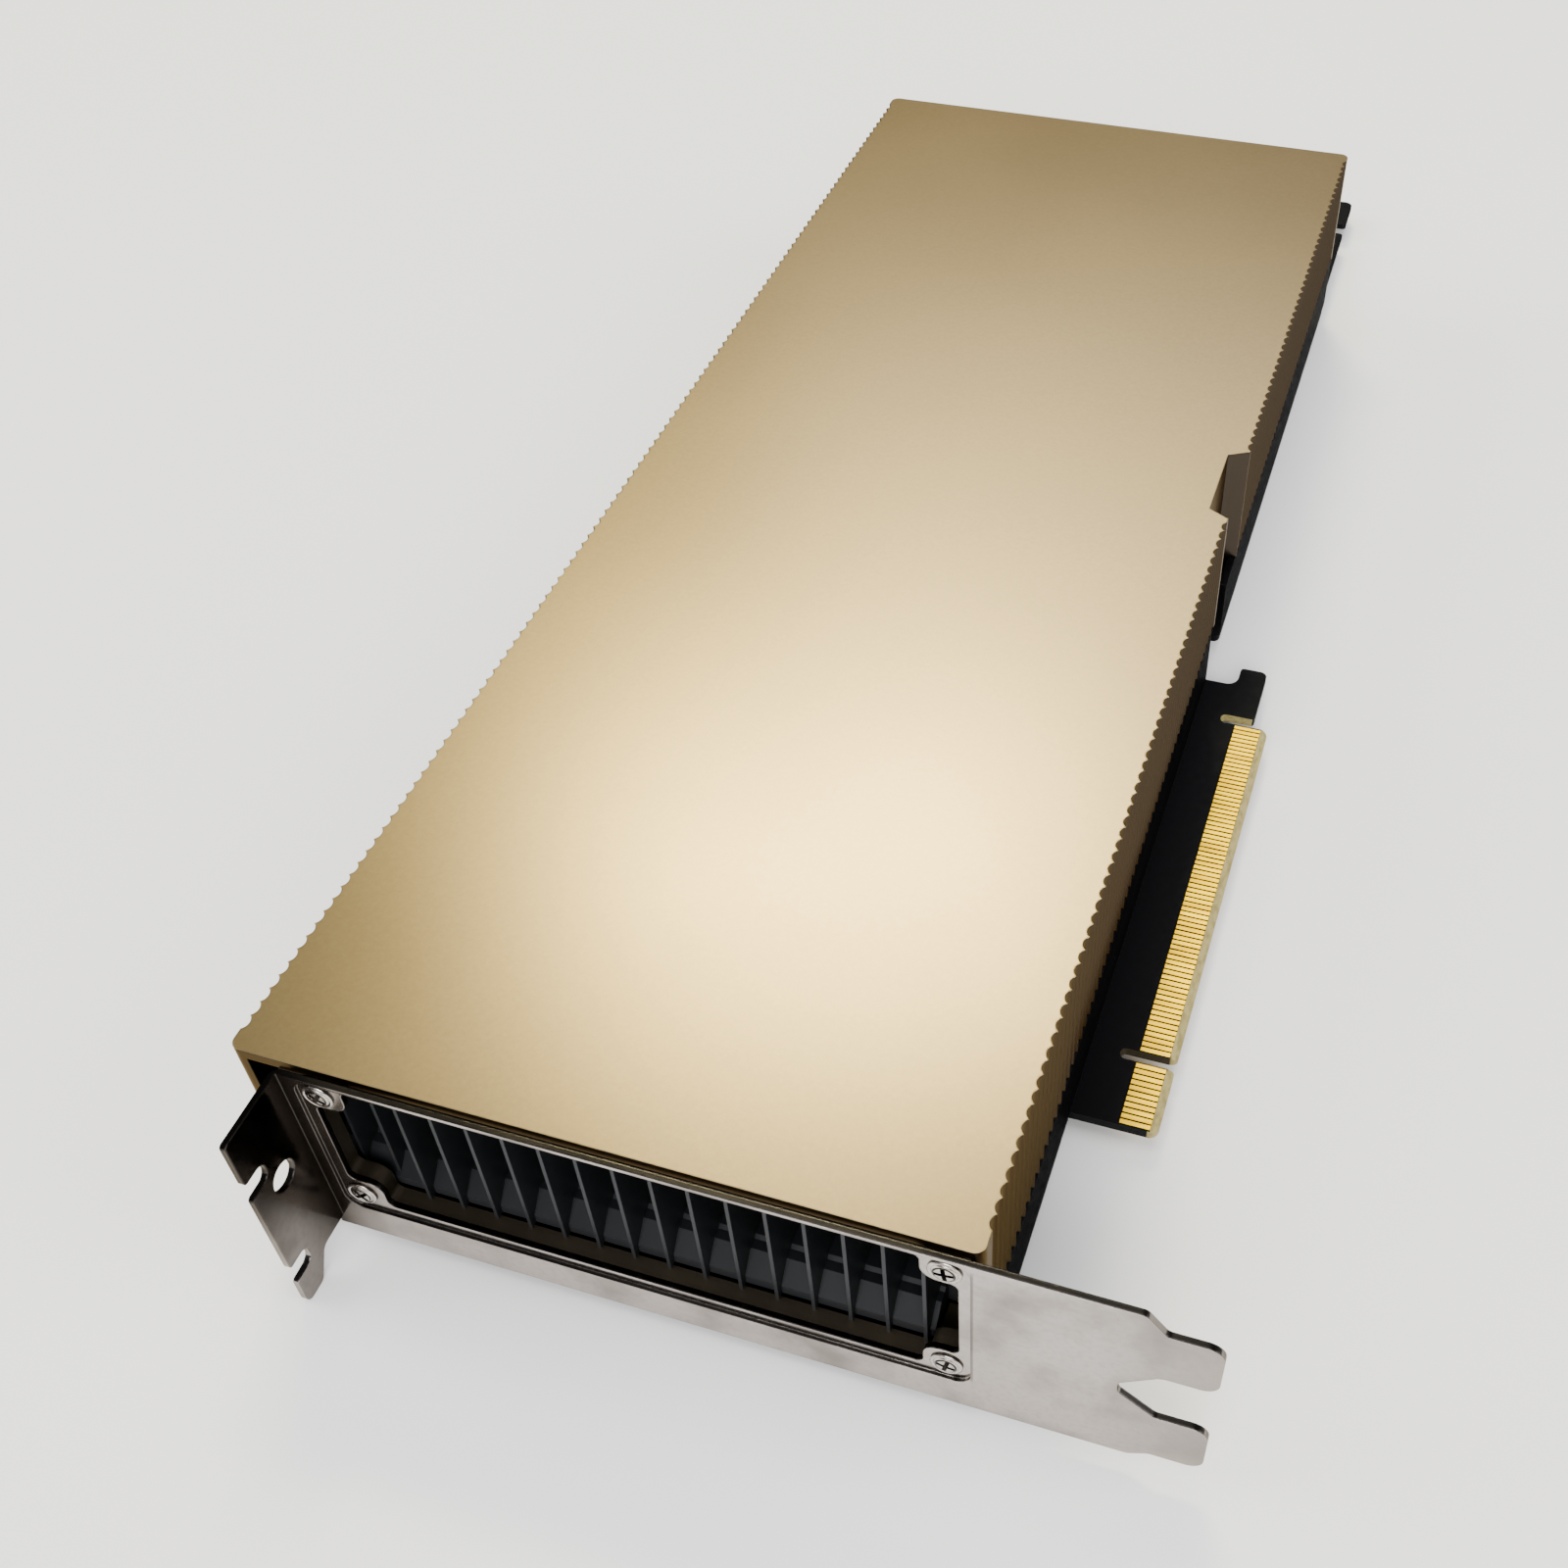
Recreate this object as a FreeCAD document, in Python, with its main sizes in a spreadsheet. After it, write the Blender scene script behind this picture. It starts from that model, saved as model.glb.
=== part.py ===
import FreeCAD, Part
import math
import os
import re

from FreeCAD import Placement, Rotation, Vector

# The card lies with its component side up. The origin is on the outer face of the
# mounting bracket, in line with the edge of the contact tab and level with the top of
# the circuit board. +X runs towards the contacts, +Y away from the bracket.
document = FreeCAD.newDocument("AcceleratorCard")
sheet = document.addObject("Spreadsheet::Sheet", "Sizes")

# Fluted cover with its service notch
COVER = {
    "card_left": -111.15,
    "cover_right": -12.6,
    "cover_front": 1.7,
    "cover_end": 266.5,
    "cover_top": 33.9,
    "cover_foot": 11.6,
    "cover_skin": 1.5,
    "cover_left_wall": 2.3,
    "cover_corner": 1.5,
    "flute_pitch": 2.25,
    "flute_depth": 0.6,
    "flute_margin": 2.4,
    "notch_front": 141.1,
    "notch_end": 159.9,
    "notch_slope": 1.8,
    "notch_floor": -16.0,
    "notch_backing": 1.4,
}

# Circuit board, contact tab and locking hook
BOARD = {
    "board_right": -12.8,
    "board_front": 3.2,
    "board_set_back": 1.0,
    "board_end": "=cover_end - board_set_back",
    "board_thickness": 1.57,
    "tab_front": 45.63,
    "tab_end": 129.93,
    "tab_corner": 1.2,
    "bevel_length": 1.15,
    "bevel_height": 0.42,
    "key_centre": 57.78,
    "key_width": 1.9,
    "key_depth": 8.3,
    "key_corner": 0.9,
    "hook_gap": 1.97,
    "hook_gap_corner": 0.88,
    "hook_reach": -2.7,
    "hook_length": 12.3,
    "hook_throat": -7.3,
    "hook_throat_corner": 2.0,
    "neck_length": 7.7,
    "waist_right": -14.6,
    "waist_length": 19.7,
    "contact_count": 82,
    "contacts_before_key": 11,
    "contacts_at_key": 2,
    "first_contact": 46.28,
    "contact_pitch": 1.0,
    "contact_width": 0.7,
    "contact_length": 4.4,
    "contact_set_back": 1.2,
    "contact_thickness": 0.04,
}

# Mounting bracket with its two tongues, opening and bent flange
BRACKET = {
    "bracket_sheet": 0.86,
    "bracket_left": -104.2,
    "bracket_shoulder": 6.5,
    "bracket_tip": 15.8,
    "bracket_top": 33.7,
    "bracket_bottom": -1.6,
    "upper_tongue_top": 30.3,
    "lower_tongue_top": 9.98,
    "tongue_width": 10.0,
    "tongue_root": 9.1,
    "fork_throat": 4.3,
    "tongue_radius": 2.2,
    "flange_reach": 12.25,
    "flange_foot": 0.4,
    "flange_corner": 0.6,
    "flange_tail": -4.3,
    "flange_tail_width": 3.7,
    "flange_tail_root": 6.3,
    "flange_tail_corner": 1.4,
    "upper_slot_height": 23.5,
    "lower_slot_height": 3.18,
    "flange_slot_width": 3.4,
    "flange_slot_depth": 3.9,
    "flange_slot_corner": 1.5,
    "flange_hole_reach": 5.65,
    "flange_hole_height": 18.9,
    "flange_hole_radius": 2.25,
    "bend_radius": 1.3,
    "opening_left": -99.8,
    "opening_right": -15.3,
    "opening_bottom": 5.9,
    "opening_top": 32.3,
    "opening_corner": 1.1,
    "corner_pad": 4.7,
    "pad_corner": 2.2,
    "recess_margin": 1.6,
    "recess_foot": 4.3,
    "recess_head": 33.1,
    "recess_depth": 0.5,
    "recess_corner": 2.35,
    "screw_left": -98.6,
    "screw_right": -16.9,
    "screw_low": 7.6,
    "screw_high": 30.3,
    "screw_head_radius": 2.3,
    "screw_head_height": 0.6,
    "screw_radius": 1.25,
    "screw_hole_radius": 1.35,
}

# Black frame on the board, plate under it and metal mouth behind the bracket
FRAME = {
    "frame_front": 1.9,
    "frame_set_back": 0.2,
    "frame_end": "=cover_end - frame_set_back",
    "frame_right": -12.7,
    "frame_wall": 1.3,
    "frame_sill": 4.0,
    "mouth_end": 4.0,
    "mouth_margin": 0.6,
    "mouth_floor": 5.3,
    "mouth_step_end": 9.6,
    "mouth_step_left": -19.4,
    "plate_gap": 0.9,
    "plate_thickness": 1.2,
    "plate_front": 5.0,
    "plate_set_back": 1.5,
    "plate_end": "=board_end - plate_set_back",
    "plate_margin": 1.0,
    "plate_right": -15.2,
    "plate_corner": 2.0,
    "arm_reach": 44.7,
    "arm_right": -13.4,
    "arm_left": -110.0,
    "arm_thickness": 1.2,
    "arm_turn_up": 1.0,
    "arm_slot_from_tip": 14.6,
    "arm_slot_width": 4.2,
    "arm_slot_depth": 4.2,
    "arm_corner": 1.6,
    "arm_screw_left": -96.0,
    "arm_screw_right": -58.0,
    "arm_screw_height": 2.2,
    "arm_hole_radius": 0.85,
    "arm_screw_radius": 0.8,
    "arm_screw_head": 1.5,
    "arm_screw_head_height": 0.7,
}

# Heat sink, what it cools and what holds it down
COOLING = {
    "sink_left": -109.2,
    "sink_right": -16.2,
    "sink_front": 10.0,
    "sink_set_back": 22.5,
    "sink_end": "=cover_end - sink_set_back",
    "sink_bottom": 5.3,
    "sink_base_top": 10.2,
    "ramp_front": 4.5,
    "ramp_foot_top": 7.0,
    "ramp_head": 7.1,
    "ramp_head_top": 9.7,
    "ramp_land": 1.4,
    "ramp_right": -19.6,
    "fin_front": 3.4,
    "side_fin_front": 5.0,
    "side_fin_count": 3,
    "fin_top": 31.8,
    "fin_thickness": 0.5,
    "fin_first": -90.8,
    "fin_pitch": 5.0,
    "fin_count": 15,
    "chip_x": -62.0,
    "chip_y": 128.0,
    "substrate_side": 55.0,
    "substrate_top": 1.0,
    "stiffener_side": 55.0,
    "stiffener_bar": 3.5,
    "stiffener_top": 1.6,
    "die_width": 26.0,
    "die_length": 33.0,
    "die_top": 1.9,
    "stack_width": 8.0,
    "stack_length": 10.0,
    "stack_pitch": 11.5,
    "stack_gap": 0.5,
    "grease_top": 2.0,
    "chamber_width": 55.0,
    "chamber_length": 110.0,
    "post_radius": 2.6,
    "post_hole": 1.3,
    "post_screw": 1.2,
    "post_head": 2.3,
    "post_head_height": 0.7,
    "post_left": -105.6,
    "post_right": -19.0,
    "post_first": 20.0,
    "post_pitch": 106.0,
    "post_rows": 3,
}

# Parts soldered to the board and the power socket at its far end
ELECTRONICS = {
    "coil_side": 7.0,
    "coil_height": 4.3,
    "coil_pitch": 9.5,
    "coil_count": 8,
    "coil_set_back": 33.0,
    "coil_left": -98.8,
    "coil_right": -30.4,
    "stage_width": 5.0,
    "stage_length": 6.0,
    "stage_height": 0.9,
    "stage_left": -92.6,
    "stage_right": -24.3,
    "pad_margin": 0.5,
    "can_radius": 2.0,
    "can_height": 4.6,
    "can_x": -84.0,
    "can_first": 205.0,
    "can_pitch": 6.5,
    "can_count": 6,
    "support_side": 9.0,
    "support_height": 1.1,
    "support_gap": 3.0,
    "support_first": -88.0,
    "support_pitch": 18.0,
    "support_count": 3,
    "socket_left": -45.0,
    "socket_width": 18.6,
    "socket_length": 15.7,
    "socket_overhang": 1.7,
    "socket_end": "=board_end + socket_overhang",
    "socket_front": "=socket_end - socket_length",
    "socket_foot": 0.4,
    "socket_height": 9.8,
    "cavity_side": 3.3,
    "cavity_pitch": 4.2,
    "cavity_depth": 12.0,
    "cavity_columns": 4,
    "cavity_rows": 2,
    "pin_side": 1.1,
    "pin_length": 7.5,
    "socket_clearance": 0.6,
}

values = {}
row = 1
for group in (COVER, BOARD, BRACKET, FRAME, COOLING, ELECTRONICS):
    for alias, number in group.items():
        cell = "B%d" % row
        sheet.set("A%d" % row, alias)
        sheet.set(cell, str(number))
        sheet.setAlias(cell, alias)
        row += 1
document.recompute()
for group in (COVER, BOARD, BRACKET, FRAME, COOLING, ELECTRONICS):
    for alias in group:
        values[alias] = float(sheet.get(alias))

FLAT = Rotation()
FACING_FRONT = Rotation(Vector(1, 0, 0), 90)
FACING_SIDE = Rotation(Vector(1, 1, 1), 120)
ALONG_Y = Rotation(Vector(1, 0, 0), -90)


def size(alias):
    """One number from the sheet."""
    return values[alias]


def from_sheet(text):
    """A formula of alias names, written for an object outside the sheet."""
    return re.sub(r"[a-z]\w*", r"Sizes.\g<0>", text)


def place(thing, x, y, z):
    for axis, text in (("x", x), ("y", y), ("z", z)):
        thing.setExpression("Placement.Base." + axis, from_sheet(text))
    return thing


def block(name, x, y, z):
    """A box between two formulas along each axis."""
    thing = document.addObject("Part::Box", name)
    for side, (low, high) in (("Length", x), ("Width", y), ("Height", z)):
        thing.setExpression(side, from_sheet("(%s) - (%s)" % (high, low)))
    return place(thing, x[0], y[0], z[0])


def post(name, x, y, z, radius):
    """An upright cylinder."""
    thing = document.addObject("Part::Cylinder", name)
    thing.setExpression("Radius", from_sheet(radius))
    thing.setExpression("Height", from_sheet("(%s) - (%s)" % (z[1], z[0])))
    return place(thing, x, y, z[0])


def rod(name, x, y, z, radius):
    """A cylinder that lies along the length of the card."""
    thing = document.addObject("Part::Cylinder", name)
    thing.Placement = Placement(Vector(), ALONG_Y)
    thing.setExpression("Radius", from_sheet(radius))
    thing.setExpression("Height", from_sheet("(%s) - (%s)" % (y[1], y[0])))
    return place(thing, x, y[0], z)


def cut(name, base, *tools):
    tool = tools[0]
    if len(tools) > 1:
        tool = join(name + "_tools", *tools)
    thing = document.addObject("Part::Cut", name)
    thing.Base = base
    thing.Tool = tool
    return thing


def join(name, *pieces):
    thing = document.addObject("Part::MultiFuse", name)
    thing.Shapes = list(pieces)
    thing.Refine = True
    return thing


def group_of(name, pieces):
    """Separate solids that share one node."""
    thing = document.addObject("Part::Compound", name)
    thing.Links = list(pieces)
    return thing


def outline(corners):
    """Lines and arcs through corners (across, up, radius); radius 0 keeps the corner sharp."""
    curves = []
    starts = []
    ends = []
    count = len(corners)
    for index, (across, up, radius) in enumerate(corners):
        here = Vector(across, up, 0)
        before = Vector(corners[index - 1][0], corners[index - 1][1], 0)
        after = Vector(corners[(index + 1) % count][0], corners[(index + 1) % count][1], 0)
        if radius == 0:
            starts.append(here)
            ends.append(here)
            continue
        back = (before - here).normalize()
        ahead = (after - here).normalize()
        half = back.getAngle(ahead) / 2
        middle = (back + ahead).normalize()
        first = here + back * (radius / math.tan(half))
        last = here + ahead * (radius / math.tan(half))
        centre = here + middle * (radius / math.sin(half))
        curves.append(Part.Arc(first, centre - middle * radius, last))
        starts.append(first)
        ends.append(last)
    for index in range(count):
        curves.append(Part.LineSegment(ends[index], starts[(index + 1) % count]))
    return curves


def sketch(name, turn, curves):
    thing = document.addObject("Sketcher::SketchObject", name)
    thing.Placement = Placement(Vector(), turn)
    for curve in curves:
        thing.addGeometry(curve, False)
    return thing


def slab(name, drawing, direction, thickness, start=None):
    """A sketch pushed along one axis by a formula, after a start offset."""
    thing = document.addObject("Part::Extrusion", name)
    thing.Base = drawing
    thing.DirMode = "Custom"
    thing.Dir = direction
    thing.Solid = True
    thing.setExpression("LengthFwd", from_sheet(thickness))
    if start is not None:
        x, y, z = start
        place(drawing, x, y, z)
    return thing


def post_places():
    """Names and formulas of the six places where posts stand on the board."""
    places = []
    for side in ("left", "right"):
        for step in range(int(size("post_rows"))):
            name = "%s_%d" % (side, step + 1)
            places.append((name, "post_" + side, "post_first + %d * post_pitch" % step))
    return places


def make_circuit_board():
    """Board with the contact tab, its key slot and the locking hook."""
    edge = size("board_right")
    waist = size("waist_right")
    key_front = size("key_centre") - size("key_width") / 2
    key_end = size("key_centre") + size("key_width") / 2
    key_corner = size("key_corner")
    gap_corner = size("hook_gap_corner")
    corner = size("tab_corner")
    hook_corner = corner / 2
    hook_start = size("tab_end") + size("hook_gap")
    neck = hook_start + size("neck_length")
    waist_end = hook_start + size("waist_length")
    corners = [
        (size("card_left"), size("board_front"), corner),
        (edge, size("board_front"), corner),
        (edge, size("tab_front"), 0),
        (0, size("tab_front"), corner),
        (0, key_front, hook_corner),
        (-size("key_depth"), key_front, key_corner),
        (-size("key_depth"), key_end, key_corner),
        (0, key_end, hook_corner),
        (0, size("tab_end"), corner),
        (-size("key_depth"), size("tab_end"), gap_corner),
        (-size("key_depth"), hook_start, gap_corner),
        (size("hook_reach"), hook_start, hook_corner),
        (size("hook_reach"), hook_start + size("hook_length"), corner),
        (size("hook_throat"), hook_start + size("hook_length"), hook_corner),
        (size("hook_throat"), neck, size("hook_throat_corner")),
        (waist, neck, 0),
        (waist, waist_end, 0),
        (edge, waist_end, corner),
        (edge, size("board_end"), corner),
        (size("card_left"), size("board_end"), corner),
    ]
    blank = slab("board_blank", sketch("board_outline", FLAT, outline(corners)),
                 Vector(0, 0, -1), "board_thickness")
    long = size("bevel_length")
    high = size("bevel_height")
    thick = size("board_thickness")
    upper = [(-long, 0, 0), (long, -2 * high, 0), (long, thick, 0), (-long, thick, 0)]
    lower = [(-long, -thick, 0), (-long, -2 * thick, 0), (long, -2 * thick, 0), (long, 2 * high - thick, 0)]
    tools = []
    start = ("0 * tab_front", "tab_front - hook_gap / 2", "0 * tab_front")
    for name, wedge in (("upper", upper), ("lower", lower)):
        drawing = sketch("bevel_outline_" + name, FACING_FRONT, outline(wedge))
        tools.append(slab("board_bevel_" + name, drawing, Vector(0, 1, 0), "tab_end - tab_front + hook_gap", start))
    for name, x, y in post_places():
        tools.append(post("board_hole_" + name, x, y, ("-2 * board_thickness", "board_thickness"), "post_hole"))
    return cut("circuit_board", blank, *tools)


def make_contacts(name, low, high):
    """A row of flat contacts, with the key slot's place left free."""
    pads = []
    for index in range(int(size("contact_count"))):
        shift = index
        if index >= size("contacts_before_key"):
            shift += int(size("contacts_at_key"))
        middle = "first_contact + %d * contact_pitch" % shift
        across = ("-contact_set_back - contact_length", "-contact_set_back")
        along = (middle + " - contact_width / 2", middle + " + contact_width / 2")
        pads.append(block("%s_%02d" % (name, index + 1), across, along, (low, high)))
    return group_of(name, pads)


def flutes(x, first, last, inward):
    """Hollow flutes side by side from one Y to another, with their tips in line at x."""
    span = last - first
    count = max(1, int(abs(span) / size("flute_pitch")))
    plain = (abs(span) - count * size("flute_pitch")) / 2
    way = math.copysign(1, span)
    at = first + way * plain
    edges = [Part.LineSegment(Vector(x, first, 0), Vector(x, at, 0))]
    for _ in range(count):
        after = at + way * size("flute_pitch")
        middle = Vector(x + inward * size("flute_depth"), (at + after) / 2, 0)
        edges.append(Part.Arc(Vector(x, at, 0), middle, Vector(x, after, 0)))
        at = after
    edges.append(Part.LineSegment(Vector(x, at, 0), Vector(x, last, 0)))
    return edges


def quarter(centre_x, centre_y, start_angle):
    """A rounded corner of the cover, a quarter turn from start_angle in degrees."""
    radius = size("cover_corner")
    points = []
    for turn in (0, 45, 90):
        angle = math.radians(start_angle + turn)
        points.append(Vector(centre_x + radius * math.cos(angle), centre_y + radius * math.sin(angle), 0))
    return Part.Arc(*points)


def make_shroud():
    """Cover drawn as one outline with fluted sides, pushed up and hollowed from below."""
    left = size("card_left")
    right = size("cover_right")
    front = size("cover_front")
    end = size("cover_end")
    radius = size("cover_corner")
    margin = size("flute_margin")
    floor = size("notch_floor")
    inner_front = size("notch_front") + size("notch_slope")
    inner_end = size("notch_end") - size("notch_slope")
    notch = [
        Vector(right, size("notch_front"), 0),
        Vector(floor, inner_front, 0),
        Vector(floor, inner_end, 0),
        Vector(right, size("notch_end"), 0),
    ]
    curves = [
        Part.LineSegment(Vector(left + radius, front, 0), Vector(right - radius, front, 0)),
        quarter(right - radius, front + radius, -90),
        Part.LineSegment(Vector(right, front + radius, 0), Vector(right, front + margin, 0)),
    ]
    curves += flutes(right, front + margin, size("notch_front"), -1)
    for start, finish in zip(notch, notch[1:]):
        curves.append(Part.LineSegment(start, finish))
    curves += flutes(right, size("notch_end"), end - margin, -1)
    curves += [
        Part.LineSegment(Vector(right, end - margin, 0), Vector(right, end - radius, 0)),
        quarter(right - radius, end - radius, 0),
        Part.LineSegment(Vector(right - radius, end, 0), Vector(left + radius, end, 0)),
        quarter(left + radius, end - radius, 90),
        Part.LineSegment(Vector(left, end - radius, 0), Vector(left, end - margin, 0)),
    ]
    curves += flutes(left, end - margin, front + margin, 1)
    curves += [
        Part.LineSegment(Vector(left, front + margin, 0), Vector(left, front + radius, 0)),
        quarter(left + radius, front + radius, 180),
    ]
    wire = Part.Wire([curve.toShape() for curve in curves])
    height = size("cover_top") - size("cover_foot")
    whole = Part.Face(wire).extrude(Vector(0, 0, height))

    skin = size("cover_skin")
    wall = size("cover_left_wall")
    room = Part.makeBox(right - left - skin - wall, end - front + 2 * skin, height - skin,
                        Vector(left + wall, front - skin, 0))
    backing = size("notch_backing")
    behind = Part.makeBox(right - skin - floor + backing, inner_end - inner_front + 4 * backing, height - skin,
                          Vector(floor - backing, inner_front - 2 * backing, 0))
    shape = whole.cut(room.cut(behind)).removeSplitter()
    thing = document.addObject("Part::Feature", "shroud")
    thing.Shape = shape
    place(thing, "0 * cover_top", "0 * cover_top", "cover_foot")
    return thing


def bracket_face_corners():
    """Front outline of the bracket, from its bend to the two tongues."""
    top = size("bracket_top")
    bottom = size("bracket_bottom")
    tip = size("bracket_tip")
    root = size("tongue_root")
    width = size("tongue_width")
    radius = size("tongue_radius")
    upper = size("upper_tongue_top")
    lower = size("lower_tongue_top")
    throat = size("fork_throat")
    middle = (upper - width + lower) / 2
    shoulder = size("bracket_shoulder")
    return [
        (size("bracket_left"), bottom, 0),
        (shoulder, bottom, radius / 2),
        (root, lower - width, radius / 2),
        (tip, lower - width, radius),
        (tip, lower, radius),
        (root, lower, radius / 2),
        (throat, middle - radius / 2, radius / 2),
        (throat, middle + radius / 2, radius / 2),
        (root, upper - width, radius),
        (tip, upper - width, radius),
        (tip, upper, radius),
        (root, upper, radius / 2),
        (shoulder, top, radius / 2),
        (size("bracket_left"), top, 0),
    ]


def opening_corners(grow):
    """Airflow opening with a rounded step round each corner screw; grow widens it on every side."""
    left = size("opening_left") - grow
    right = size("opening_right") + grow
    bottom = size("opening_bottom") - grow
    top = size("opening_top") + grow
    pad = size("corner_pad")
    soft = size("opening_corner")
    full = size("pad_corner")
    return [
        (left, bottom + pad, soft),
        (left + pad, bottom + pad, full),
        (left + pad, bottom, soft),
        (right - pad, bottom, soft),
        (right - pad, bottom + pad, full),
        (right, bottom + pad, soft),
        (right, top - pad, soft),
        (right - pad, top - pad, full),
        (right - pad, top, soft),
        (left + pad, top, soft),
        (left + pad, top - pad, full),
        (left, top - pad, soft),
    ]


def recess_corners(grow):
    """Pressed field round the opening and its four screws."""
    margin = size("recess_margin") + grow
    left = size("opening_left") - margin
    right = size("opening_right") + margin
    low = size("recess_foot") - grow
    high = size("recess_head")
    soft = size("recess_corner")
    return [(left, low, soft), (right, low, soft), (right, high, soft), (left, high, soft)]


def flange_corners():
    """Side outline of the flange: two open screw slots, and a tail below."""
    reach = -size("flange_reach")
    top = size("bracket_top")
    foot = size("flange_foot")
    slot = size("flange_slot_width") / 2
    deep = reach + size("flange_slot_depth")
    upper = size("upper_slot_height")
    lower = size("lower_slot_height")
    round_slot = size("flange_slot_corner")
    soft = size("flange_corner")
    tail = size("flange_tail")
    round_tail = size("flange_tail_corner")
    return [
        (0, top, 0),
        (reach, top, soft),
        (reach, upper + slot, soft),
        (deep, upper + slot, round_slot),
        (deep, upper - slot, round_slot),
        (reach, upper - slot, soft),
        (reach, lower + slot, soft),
        (deep, lower + slot, round_slot),
        (deep, lower - slot, round_slot),
        (reach, lower - slot, soft),
        (reach, tail, round_tail),
        (reach + size("flange_tail_width"), tail, round_tail),
        (reach + size("flange_tail_root"), foot, round_tail),
        (0, foot, 0),
    ]


def make_bracket():
    """Sheet-steel bracket: pressed field, opening, screw holes, and a flange bent forward."""
    face = slab("bracket_face", sketch("bracket_outline", FACING_FRONT, outline(bracket_face_corners())),
                Vector(0, 1, 0), "bracket_sheet")
    field = slab("bracket_field", sketch("field_outline", FACING_FRONT, outline(recess_corners(0))),
                 Vector(0, 1, 0), "recess_depth")
    back = slab("bracket_field_back",
                sketch("field_back_outline", FACING_FRONT, outline(recess_corners(size("recess_depth")))),
                Vector(0, 1, 0), "recess_depth",
                ("0 * bracket_sheet", "bracket_sheet", "0 * bracket_sheet"))
    mouth = slab("bracket_mouth", sketch("opening_outline", FACING_FRONT, outline(opening_corners(0))),
                 Vector(0, 1, 0), "4 * bracket_sheet",
                 ("0 * bracket_sheet", "-bracket_sheet", "0 * bracket_sheet"))
    flange = slab("bracket_flange", sketch("flange_outline", FACING_SIDE, outline(flange_corners())),
                  Vector(1, 0, 0), "bracket_sheet",
                  ("bracket_left", "bracket_sheet", "0 * bracket_sheet"))
    hole = document.addObject("Part::Cylinder", "flange_hole")
    hole.Placement = Placement(Vector(), Rotation(Vector(0, 1, 0), 90))
    hole.setExpression("Radius", from_sheet("flange_hole_radius"))
    hole.setExpression("Height", from_sheet("4 * bracket_sheet"))
    place(hole, "bracket_left - bracket_sheet", "-flange_hole_reach", "flange_hole_height")
    holes = []
    for side in ("left", "right"):
        for level in ("low", "high"):
            holes.append(rod("bracket_hole_%s_%s" % (side, level), "screw_" + side,
                             ("-bracket_sheet", "3 * bracket_sheet"), "screw_" + level, "screw_hole_radius"))
    sheet_metal = join("bracket_sheet_metal", face, back, flange)
    pierced = cut("bracket_pierced", sheet_metal, field, mouth, hole, *holes)
    document.recompute()
    bend = document.addObject("Part::Fillet", "bracket")
    bend.Base = pierced
    near = size("bracket_sheet") / 4
    edges = []
    for number, line in enumerate(pierced.Shape.Edges, start=1):
        box = line.BoundBox
        upright = box.ZLength > size("tongue_width") and box.XLength < near and box.YLength < near
        at_left = abs(box.XMin - size("bracket_left")) < near
        if upright and at_left and abs(box.YMin - size("bracket_sheet")) < near:
            edges.append((number, size("bend_radius"), size("bend_radius")))
    bend.Edges = edges
    return bend


def make_bracket_screws():
    """Four screws through the corners of the pressed field."""
    screws = []
    for side in ("left", "right"):
        for level in ("low", "high"):
            name = "bracket_screw_%s_%s" % (side, level)
            x = "screw_" + side
            z = "screw_" + level
            head = rod(name + "_head", x, ("recess_depth - screw_head_height", "recess_depth"), z,
                       "screw_head_radius")
            shank = rod(name + "_shank", x, ("recess_depth", "mouth_end"), z, "screw_radius")
            screws.append(join(name, head, shank))
    return group_of("bracket_screws", screws)


def make_duct_mouth():
    """Metal mouth behind the bracket, with its opening a little wider than the bracket's."""
    along = ("bracket_sheet + recess_depth", "mouth_end")
    right = "cover_right - cover_skin"
    body = block("mouth_blank", ("bracket_left", right), along, ("frame_sill", "cover_top - cover_skin"))
    drawing = sketch("mouth_outline", FACING_FRONT, outline(opening_corners(size("mouth_margin"))))
    air = slab("mouth_air", drawing, Vector(0, 1, 0), "2 * mouth_end")
    holes = []
    for side in ("left", "right"):
        for level in ("low", "high"):
            holes.append(rod("mouth_hole_%s_%s" % (side, level), "screw_" + side,
                             ("0 * mouth_end", "2 * mouth_end"), "screw_" + level, "screw_hole_radius"))
    step = block("mouth_step", ("mouth_step_left", right), ("bracket_sheet + recess_depth", "mouth_step_end"),
                 ("frame_sill", "mouth_floor"))
    return join("duct_mouth", cut("mouth_ring", body, air, *holes), step)


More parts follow.
